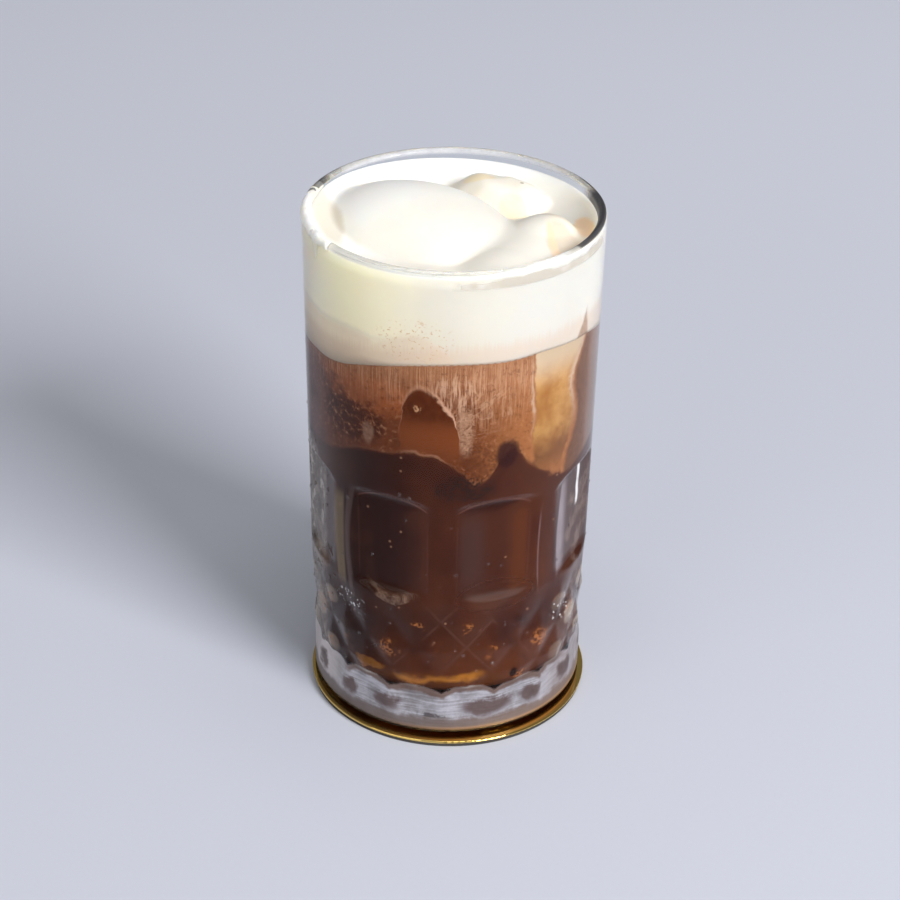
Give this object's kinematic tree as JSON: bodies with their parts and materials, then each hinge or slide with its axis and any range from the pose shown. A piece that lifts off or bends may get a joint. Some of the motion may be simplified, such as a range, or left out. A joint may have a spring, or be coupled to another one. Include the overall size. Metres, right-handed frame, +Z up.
{
  "type": "root beer float",
  "caption": "Tall pressed glass of dark root beer under a thick cream head with vanilla ice cream scoops, standing on a thin gilt coaster.",
  "frame": {"origin": "on the glass's axis, in the plane of the coaster pad's underside", "axes": "+Z up along the glass's axis; -Y towards the side shown in front; +X to its right"},
  "size_m": [0.08, 0.0817, 0.1476],
  "materials": {
    "pad": "matt dark underlay",
    "gilt": "mirror-polished gold tone",
    "glass": "clear pressed glass, misted low down",
    "root_beer": null,
    "creamy_beer": null,
    "cream": null,
    "ice_cream": null
  },
  "bodies": {
    "root": {"coaster_pad": "pad", "coaster": "gilt", "glass": "glass", "root_beer": "root_beer", "creamy_layer": "creamy_beer", "cream_head": "cream", "scoop_main": "ice_cream", "scoop_rear": "ice_cream", "scoop_side": "ice_cream"}
  },
  "joints": []
}
